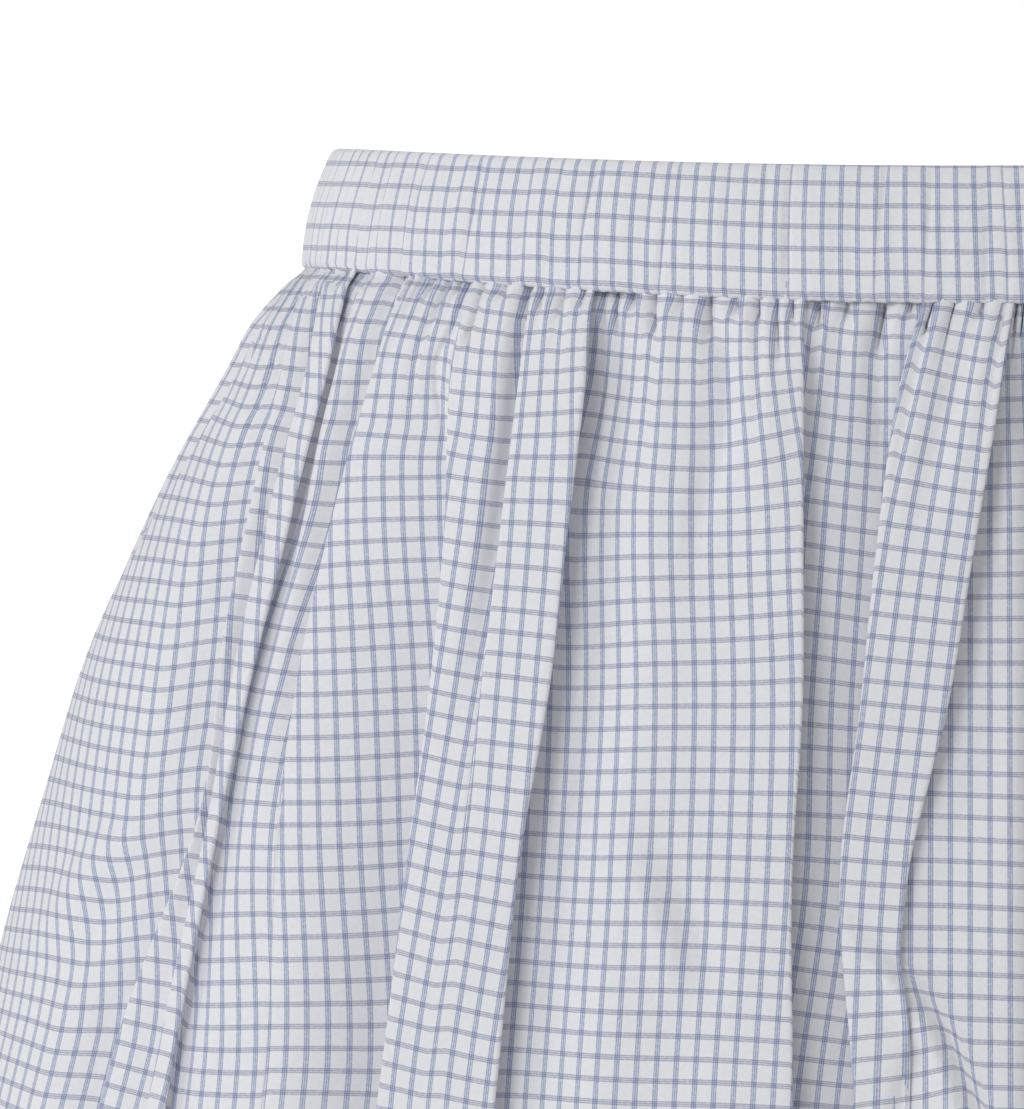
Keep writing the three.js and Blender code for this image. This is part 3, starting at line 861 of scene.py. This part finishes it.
def cloth_piece(name, points, cloth):
    """A thin shell of cloth on a grid of points, with its flat pattern as its UV map."""
    rows, columns = points.shape[:2]
    bpy.ops.object.select_all(action="DESELECT")
    bpy.ops.mesh.primitive_grid_add(x_subdivisions=columns - 1, y_subdivisions=rows - 1, size=1)
    piece = bpy.context.object
    piece.name = piece.data.name = name
    mesh = piece.data
    mesh.vertices.foreach_set("co", (points.reshape(-1, 3) * MM).astype(np.float32).ravel())
    corner = np.zeros(len(mesh.loops), np.int32)
    mesh.loops.foreach_get("vertex_index", corner)
    flat = cloth.reshape(-1, 2)[corner] * MM
    mesh.uv_layers[0].name = "cut"
    mesh.uv_layers[0].data.foreach_set("uv", flat.astype(np.float32).ravel())
    mesh.update()
    wall = piece.modifiers.new("wall", "SOLIDIFY")
    wall.thickness = CLOTH * MM
    wall.offset = -1
    bpy.ops.object.modifier_apply(modifier=wall.name)
    bpy.ops.object.shade_smooth()
    return piece


# The waistband: a casing of the same cloth, folded over elastic and puckered by it.

BAND_COLUMNS = 900

# Distance between the casing's two layers, how far its top is drawn in from its lower edge, how far
# its middle swells, and how far in it lies from the seam's oval.
BAND_LAYER = 2
BAND_DRAW_IN = 6.5
BAND_SWELL = 1.1
BAND_INSET = 0.4

# How far the first woven row lies under the top edge, by x, and the rows' own pitch on the casing in
# its middle and at its sides, as a share of the cloth's.
FIRST_ROW_X = [-140, -118, -78, -58, -39, 0, 60, 140]
FIRST_ROW = [2.7, 2.75, 2.9, 2.4, 1.9, 1.65, 2.2, 2.7]
BAND_ROW_SCALE = {"middle": 0.957, "side": 0.98}
ROW_SCALE_CHANGES = (60, 120)

# Columns to each side over which the cloth's way up and over the casing is averaged.
RUN_WINDOW = 20

# Slope of the upright stripes on the front's casing, what is added to it towards the left side, and
# where that grows and the whole slope ends.
STRIPE_SLOPE = 0.04
SIDE_SLOPE = 0.07
SLOPE_GROWS = (0, 120)
SLOPE_ENDS = (130, 172)

# Narrow upright creases that the elastic makes: their pitch, the part of it before the first one, how
# far they stray from it and sway on their way up, and the share of the spare cloth that they take.
CREASE_PITCH = 8.6
CREASE_START = 0.6
CREASE_STRAY = 2.6
CREASE_SWAY = 0.7
CREASE_SHARE = 0.72

# Their width, how many times as wide the dent is that each lies in, its depth, the least size of one,
# its mean share and change from row to row, and how far they jog the woven rows.
CREASE_WIDTH = 0.44
CREASE_DENT = 1.5
CREASE_DEPTH = 1.2
CREASE_LEAST = 0.2
CREASE_CHANGE = (0.55, 0.45)
CREASE_JOG = 0.14

# The band's ends have ridges between the stripes and shallower creases: where they begin, how much
# shallower the creases are, and how far the lower edge curls in and up to which height.
BAND_ENDS = (110, 134)
END_CALM = 0.4
END_CURL = 0.4
CURL_HEIGHT = 2.4

# Ripples along the cloth, each with its size, its length, how far it strays from even spacing and
# over which length: ridges at the band's ends, soft puckers all along, and scallops of the lower edge.
END_RIPPLES = [(0.2, 7.9, 1.7, 21)]
SOFT_RIPPLES = [(0.12, 11.3, 1.3, 17), (0.05, 3.7, 0, 1)]
SCALLOPS = [(0.16, 3.1, 0.8, 7), (0.1, 8.3, 0, 1)]

# Height of the furrows along the stripes at the band's ends, and how far and over which length of
# cloth they sway.
STRIPE_FURROW = 0.27
FURROW_SWAY = 0.8
FURROW_BEND = 15

# Share of all puckers that is left at the edges and on the inner layer, how soon they are whole away
# from an edge, and how far in a row of the outer layer may lie.
EDGE_PUCKER = 0.12
INNER_PUCKER = 0.4
PUCKER_POWER = 0.6
OUTER_REACH = -1

# How high the scallops of the lower edge reach, and how far in a row may lie and still have them.
SCALLOP_HEIGHT = 1.5
SCALLOP_REACH = -1.3

# Profile of the casing, from the lower edge of its inner layer over the top to the lower edge of its
# outer layer: share of the height, millimetres above that, millimetres out from the outer face. The
# woven rows are counted from its top row.
BAND_PROFILE = (
    [(up, 0, -BAND_LAYER) for up in (0.02, 0.12, 0.3, 0.5, 0.7, 0.88)]
    + [(1, -0.9, -1.9), (1, -0.25, -1.6), (1, 0, -1.05), (1, -0.15, -0.5), (1, -0.7, -0.12)]
    + [(up, 0, 0) for up in (0.93, 0.88, 0.82, 0.75, 0.67, 0.59, 0.5, 0.41, 0.33, 0.26, 0.2, 0.15)]
    + [(0, 2.6, 0.05), (0, 2.0, 0.12), (0, 1.4, 0.12), (0, 0.9, 0), (0, 0.45, -0.25), (0, 0.15, -0.6)]
    + [(0, -0.02, -0.95), (0, 0.1, -1.2), (0, 0.5, -1.3)]
)
BAND_TOP_ROW = 8


def crease_steps(t, places, sizes):
    """Sum of small smooth steps at the creases."""
    away = (t[:, None] - places) / CREASE_WIDTH
    return (sizes * (0.5 + 0.5 * np.tanh(away))).sum(1)


def ripples(s, kinds):
    """Height of some kinds of ripples at the cloth positions s."""
    return sum(
        size * np.sin(TURN * s / length + stray * np.sin(s / bend))
        for size, length, stray, bend in kinds
    )


def smoothed(values):
    """Running mean, with the ends repeated past themselves."""
    window = 2 * RUN_WINDOW + 1
    return np.convolve(np.pad(values, RUN_WINDOW, mode="edge"), np.ones(window) / window, "valid")


def stripe_slope(half, t):
    """Slope of the casing's upright stripes at distances t."""
    if half == "back":
        return np.zeros(len(t))
    return (STRIPE_SLOPE + SIDE_SLOPE * ease(*SLOPE_GROWS, -t)) * (1 - ease(*SLOPE_ENDS, -t))


class Casing:
    """One half of the waistband: its oval, and the creases that the elastic makes in it."""

    def __init__(self, half):
        self.sign = -1 if half == "front" else 1
        self.width, self.deep = BODY_HALF_WIDTH[0], BODY_DEPTH[half][0]
        self.angle = np.linspace(-1, 1, BAND_COLUMNS + 1) * math.pi / 2
        forward = -self.sign * np.cos(self.angle)
        self.bottom = BAND_BOTTOM - BAND_BOTTOM_DIP * dip_share(forward, "seam")
        self.height = BAND_TOP - BAND_TOP_DIP * dip_share(forward, "top") - self.bottom
        x, y = self.width * np.sin(self.angle), self.deep * np.cos(self.angle)
        along = np.concatenate([[0], np.cumsum(np.hypot(np.diff(x), np.diff(y)))])
        self.t = along - along[-1] / 2
        self.ends = ease(*BAND_ENDS, np.abs(self.t))
        self.slope = stripe_slope(half, self.t)
        reach = self.t[-1]
        spare = BAND_CLOTH[half] - 2 * reach
        self.number = np.arange(int(2 * reach / CREASE_PITCH))
        stray = CREASE_STRAY * scatter(self.number, 2.4, 0.5)
        self.places = -reach + (self.number + CREASE_START) * CREASE_PITCH + stray
        self.sizes = CREASE_LEAST + (1 - CREASE_LEAST) * scatter(self.number, 1.9, 1) ** 2
        self.takes = self.sizes * CREASE_SHARE * spare / self.sizes.sum()
        self.even = 1 + (1 - CREASE_SHARE) * spare / (2 * reach)

    def puckers(self, s, rise, level, places, outer):
        """How far the puckers stand out along a row."""
        mean, change = CREASE_CHANGE
        weight = mean + change * scatter(self.number, 1.7, 3.4 * level)
        away = np.abs(self.t[:, None] - places) / (CREASE_WIDTH * CREASE_DENT)
        creases = (self.sizes * weight * np.exp(-away)).sum(1)
        sway = FURROW_SWAY * np.sin(3 * rise + s / FURROW_BEND)
        ridges = ripples(s, END_RIPPLES) - STRIPE_FURROW * np.sin(TURN * s / STRIPE_PITCH + sway)
        free = EDGE_PUCKER + (1 - EDGE_PUCKER) * np.sin(math.pi * rise) ** PUCKER_POWER
        calm = 1 - END_CALM * self.ends
        return free * outer * (ridges * self.ends + ripples(s, SOFT_RIPPLES) - CREASE_DEPTH * creases * calm)

    def row(self, share, above, out):
        """Points and cloth positions of the row at one entry of the profile."""
        up = share * self.height + above
        rise = np.clip(up / self.height, 0, 1)
        level = float(rise.mean())
        places = self.places + CREASE_SWAY * scatter(self.number, 1, 2.6 * level)
        s = self.even * self.t + crease_steps(self.t, places, self.takes) - self.takes.sum() / 2
        s = s - self.slope * self.even * (self.height / 2 - up)
        pucker = self.puckers(s, rise, level, places, 1 if out > OUTER_REACH else INNER_PUCKER)
        low = np.exp(-np.maximum(up, 0) / SCALLOP_HEIGHT) * (1 if out > SCALLOP_REACH else 0)
        scallop = low * ripples(s, SCALLOPS)
        curl = END_CURL * self.ends * np.exp(-np.maximum(up, 0) / CURL_HEIGHT)
        form = BAND_SWELL * np.sin(math.pi * rise) - BAND_DRAW_IN * rise
        offset = form + out + pucker + scallop - curl - BAND_INSET
        x = (self.width + offset) * np.sin(self.angle)
        y = self.sign * (self.deep + offset) * np.cos(self.angle)
        return np.stack([x, y, self.bottom + up + 0.5 * scallop], 1), s

    def first_row(self):
        """How far the first woven row lies under the top edge, with its small jogs at the creases."""
        under = np.interp(self.width * np.sin(self.angle), FIRST_ROW_X, FIRST_ROW)
        jogs = np.diff(CREASE_JOG * scatter(self.number, 2.9), prepend=0)
        return under - crease_steps(self.t, self.places, jogs)


def band_grid(half):
    """Rows of points and of cloth positions for the casing of a half, and its cut's whole height."""
    casing = Casing(half)
    rows = [casing.row(*entry) for entry in BAND_PROFILE]
    points = np.stack([row[0] for row in rows])
    runs = [np.zeros(BAND_COLUMNS + 1)]
    for step in np.linalg.norm(np.diff(points, axis=0), axis=2):
        runs.append(runs[-1] + smoothed(step))
    middle_scale, side_scale = BAND_ROW_SCALE["middle"], BAND_ROW_SCALE["side"]
    row_scale = middle_scale + (side_scale - middle_scale) * ease(*ROW_SCALE_CHANGES, np.abs(casing.t))
    first = casing.first_row()
    levels = [(runs[BAND_TOP_ROW] - run) * row_scale - first for run in runs]
    flat = np.stack([np.stack([row[1], level], 1) for row, level in zip(rows, levels)])
    points, flat = points[::-1], flat[::-1]
    if half == "back":
        points, flat = points[:, ::-1], flat[:, ::-1]
    return points, flat, float(runs[-1].mean())


# Materials.


class Value:
    """A node socket that takes part in sums."""

    def __init__(self, finish, socket):
        self.finish = finish
        self.socket = socket

    def math(self, operation, first, second=None):
        values = {0: first} if second is None else {0: first, 1: second}
        return self.finish.node("ShaderNodeMath", {"operation": operation}, values)

    def __add__(self, other):
        return self.math("ADD", self, other)

    __radd__ = __add__

    def __sub__(self, other):
        return self.math("SUBTRACT", self, other)

    def __rsub__(self, other):
        return self.math("SUBTRACT", other, self)

    def __mul__(self, other):
        return self.math("MULTIPLY", self, other)

    __rmul__ = __mul__

    def __truediv__(self, other):
        return self.math("DIVIDE", self, other)

    def __rtruediv__(self, other):
        return self.math("DIVIDE", other, self)

    def fraction(self):
        return self.math("FRACT", self)

    def size(self):
        return self.math("ABSOLUTE", self)

    def ramp(self, start, end, low=0.0, high=1.0):
        """Smooth change from low to high as the value goes from start to end."""
        settings = {"interpolation_type": "SMOOTHSTEP"}
        sockets = {"Value": self, "From Min": start, "From Max": end, "To Min": low, "To Max": high}
        return self.finish.node("ShaderNodeMapRange", settings, sockets)

    def beside(self, output):
        """Another output of the same node."""
        return Value(self.finish, self.socket.node.outputs[output])


class Finish:
    """A material under construction."""

    def __init__(self, name):
        self.material = bpy.data.materials.new(name)
        self.material.use_nodes = True
        self.tree = self.material.node_tree
        self.shader = self.tree.nodes["Principled BSDF"]

    def node(self, kind, settings, sockets, output=0):
        """Adds a node and gives one of its outputs."""
        node = self.tree.nodes.new(kind)
        for key, setting in settings.items():
            setattr(node, key, setting)
        for key, value in sockets.items():
            self.feed(node.inputs[key], value)
        return Value(self, node.outputs[output])

    def feed(self, socket, value):
        if isinstance(value, Value):
            self.tree.links.new(value.socket, socket)
        elif isinstance(value, tuple):
            socket.default_value = (*value, 1)
        else:
            socket.default_value = value

    def mix(self, factor, first, second):
        """Colour between two colours."""
        settings = {"data_type": "RGBA", "clamp_factor": True}
        return self.node("ShaderNodeMix", settings, {0: factor, 6: first, 7: second}, output=2)

    def noise(self, where, scale, detail):
        return self.node("ShaderNodeTexNoise", {}, {"Vector": where, "Scale": scale, "Detail": detail})

    def set(self, **sockets):
        for key, value in sockets.items():
            self.feed(self.shader.inputs[key.replace("_", " ")], value)


# A stripe is three fine threads with light gaps between them: its width, the middles of its gaps from
# one to the other, how far a gap fades out from its middle, the colour left in it, and the soft edge.
STRIPE_WIDTH = 1.02
THREAD_PITCH = 0.4
GAP_FADES = (0.03, 0.12)
GAP_STRENGTH = 0.36
EDGE = 0.06

GROUND = (0.785, 0.79, 0.825)
GROUND_SHADE = (0.75, 0.755, 0.795)
UPRIGHT_BLUE = (0.315, 0.365, 0.525)
ACROSS_BLUE = (0.38, 0.40, 0.495)
CROSSING = (0.20, 0.24, 0.39)
CROSSING_STRENGTH = 0.85
FLOOR_GREYS = ((0.8, 0.8, 0.8), (0.83, 0.83, 0.83))

# Scales of the noises: slubs in the yarn and worn dye on the cut, and clouds on the object and floor.
# Then the range of a noise that counts, and the shares of slubs and clouds in the cloth's shade.
SLUB_SCALE = 900
WEAR_SCALE = 1600
CLOUD_SCALE = 24
FLOOR_SCALE = 1.5
CLOUDY = (0.3, 0.7)
SLUB_SHARE = 0.7
CLOUD_SHARE = 0.3

# Range of the noise over which the dye is worn, and how strong it is where it is worn most and least.
WORN = (0.3, 0.62)
WORN_DYE = (0.72, 1)

# Neps, the small dark specks in the cotton: their colour, scale, size, how rare they are and how dark.
NEP = (0.16, 0.15, 0.16)
NEP_SCALE = 34
NEP_SIZE = (0.008, 0.02)
NEP_CHANCE = (0.8, 0.86)
NEP_STRENGTH = 0.8

# Relief of the weave: pitches of the single threads across and down, and the bump in metres.
WARP_PITCH = 0.32
WEFT_PITCH = 0.36
SLUB_RELIEF = 0.8
BUMP_STRENGTH = 0.22
BUMP_HEIGHT = 0.00012

ROUGHNESS = (0.78, 0.92)
COTTON_SHEEN = {"Specular IOR Level": 0.18, "Sheen Weight": 0.25, "Sheen Roughness": 0.6}
FLOOR_ROUGHNESS = 0.9


def stripe(value, pitch):
    """Strength of a stripe of three threads, repeated along a value."""
    away = ((value / pitch).fraction() - 0.5).size() * pitch
    body = away.ramp(STRIPE_WIDTH / 2 - EDGE, STRIPE_WIDTH / 2 + EDGE, 1, 0)
    gap = (away - THREAD_PITCH / 2).size().ramp(*GAP_FADES, 1, 0)
    return body * (1 - gap * (1 - GAP_STRENGTH))


def threads(value, pitch):
    """Height of the single threads along a value, from 0 at their middles to 1 between them."""
    return ((value / pitch).fraction() - 0.5).size() * 2


def neps(finish, cut):
    """Strength of the small dark specks."""
    cells = finish.node("ShaderNodeTexVoronoi", {"feature": "F1"}, {"Vector": cut, "Scale": NEP_SCALE})
    chance = finish.node("ShaderNodeSeparateColor", {}, {"Color": cells.beside("Color")})
    return cells.ramp(*NEP_SIZE, 1, 0) * chance.ramp(*NEP_CHANCE)


def poplin(name):
    """Thin crisp cotton, woven with a check of fine blue threads, drawn on the cut of the piece."""
    finish = Finish(name)
    cut = finish.node("ShaderNodeUVMap", {"uv_map": "cut"}, {})
    place = finish.node("ShaderNodeTexCoord", {}, {}, output="Object")
    flat = finish.node("ShaderNodeSeparateXYZ", {}, {"Vector": cut}, output="X")
    along = flat / MM
    down = flat.beside("Y") / MM
    slub = finish.noise(cut, SLUB_SCALE, 2)
    cloud = finish.noise(place, CLOUD_SCALE, 3)
    shade = slub.ramp(*CLOUDY) * SLUB_SHARE + cloud.ramp(*CLOUDY) * CLOUD_SHARE
    dye = finish.noise(cut, WEAR_SCALE, 1).ramp(*WORN, *WORN_DYE)
    upright = stripe(along, STRIPE_PITCH)
    across = stripe(down, ROW_PITCH)
    colour = finish.mix(shade, GROUND_SHADE, GROUND)
    colour = finish.mix(across * dye, colour, ACROSS_BLUE)
    colour = finish.mix(upright * dye, colour, UPRIGHT_BLUE)
    colour = finish.mix(upright * across * CROSSING_STRENGTH, colour, CROSSING)
    colour = finish.mix(neps(finish, cut) * NEP_STRENGTH, colour, NEP)
    relief = threads(along, WARP_PITCH) * 0.5 + threads(down, WEFT_PITCH) * 0.5 + slub * SLUB_RELIEF
    bump_sockets = {"Strength": BUMP_STRENGTH, "Distance": BUMP_HEIGHT, "Height": relief}
    bump = finish.node("ShaderNodeBump", {}, bump_sockets)
    finish.set(Base_Color=colour, Roughness=slub.ramp(*CLOUDY, *ROUGHNESS), Normal=bump)
    for socket, value in COTTON_SHEEN.items():
        finish.shader.inputs[socket].default_value = value
    return finish.material


def floor_finish():
    """Matt pale grey, slightly uneven."""
    finish = Finish("pale_floor")
    place = finish.node("ShaderNodeTexCoord", {}, {}, output="Object")
    cloud = finish.noise(place, FLOOR_SCALE, 2)
    finish.set(Base_Color=finish.mix(cloud.ramp(*CLOUDY), *FLOOR_GREYS), Roughness=FLOOR_ROUGHNESS)
    return finish.material


# The scene, in metres.

FLOOR_Z = -0.43
FLOOR_SIZE = 8

CAMERA_PLACE = (0, -2.4, -0.15)
CAMERA_AIM = (-0.0976, 0, -0.069)
CAMERA_LENS = 389.5
CAMERA_FAR = 100

# Light of the white surroundings on the cloth, and how bright they are where the camera sees them.
ROOM_LIGHT = 0.42
ROOM_SEEN = 1.1

# Area lights: name, place, what each is aimed at, width and height, and power.
LIGHTS = [
    ("soft_front", (-1.5, -2.0, 0.7), (-0.1, 0, -0.1), (1.2, 1.2), 23.5),
    ("soft_left", (-2.2, -0.5, 0.2), (-0.15, 0, -0.15), (0.9, 1.4), 8),
    ("soft_side", (1.6, -1.5, 0.3), (-0.1, 0, -0.1), (1, 1.4), 5),
    ("soft_back", (0, 2.2, 1), (0, 0, -0.1), (1.6, 1.2), 18),
]


def turned_to(place, aim):
    """Rotation that points a camera or light from its place at its aim."""
    return (Vector(aim) - Vector(place)).to_track_quat("-Z", "Y").to_euler()


def add_camera():
    bpy.ops.object.camera_add(location=CAMERA_PLACE)
    camera = bpy.context.object
    camera.rotation_euler = turned_to(CAMERA_PLACE, CAMERA_AIM)
    camera.data.lens = CAMERA_LENS
    camera.data.clip_end = CAMERA_FAR
    bpy.context.scene.camera = camera


def add_light(name, place, aim, size, power):
    bpy.ops.object.light_add(type="AREA", location=place)
    light = bpy.context.object
    light.name = name
    light.data.shape = "RECTANGLE"
    light.data.size, light.data.size_y = size
    light.data.energy = power
    light.visible_camera = False
    light.rotation_euler = turned_to(place, aim)


def add_white_room():
    world = bpy.data.worlds.new("white_room")
    bpy.context.scene.world = world
    world.use_nodes = True
    tree = world.node_tree
    background = tree.nodes["Background"]
    background.inputs["Color"].default_value = (1, 1, 1, 1)
    seen = tree.nodes.new("ShaderNodeLightPath")
    strength = tree.nodes.new("ShaderNodeMapRange")
    strength.inputs["To Min"].default_value = ROOM_LIGHT
    strength.inputs["To Max"].default_value = ROOM_SEEN
    tree.links.new(seen.outputs["Is Camera Ray"], strength.inputs["Value"])
    tree.links.new(strength.outputs[0], background.inputs["Strength"])
    bpy.context.scene.view_settings.view_transform = "Standard"


def add_floor():
    bpy.ops.mesh.primitive_plane_add(size=FLOOR_SIZE, location=(0, 0, FLOOR_Z))
    floor = bpy.context.object
    floor.name = "floor"
    floor.data.materials.append(floor_finish())


def add_panel(half, skirt_cloth):
    points, cloth = skirt_grid(half)
    panel = cloth_piece(f"{half}_panel", points, cloth)
    panel.data.materials.append(skirt_cloth)
    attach(panel, "root")
    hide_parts(f"skirt_{half}")


def add_casing(half, casing_cloth):
    points, cloth, wrap = band_grid(half)
    casing = cloth_piece(f"{half}_casing", points, cloth)
    casing.data.materials.append(casing_cloth)
    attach(casing, "root")
    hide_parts(f"waistband_{half}")


def main():
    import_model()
    skirt_cloth = poplin("checked_poplin")
    casing_cloth = poplin("checked_poplin_casing")
    for half in ("front", "back"):
        add_panel(half, skirt_cloth)
        add_casing(half, casing_cloth)
    add_white_room()
    for light in LIGHTS:
        add_light(*light)
    add_floor()
    add_camera()


main()
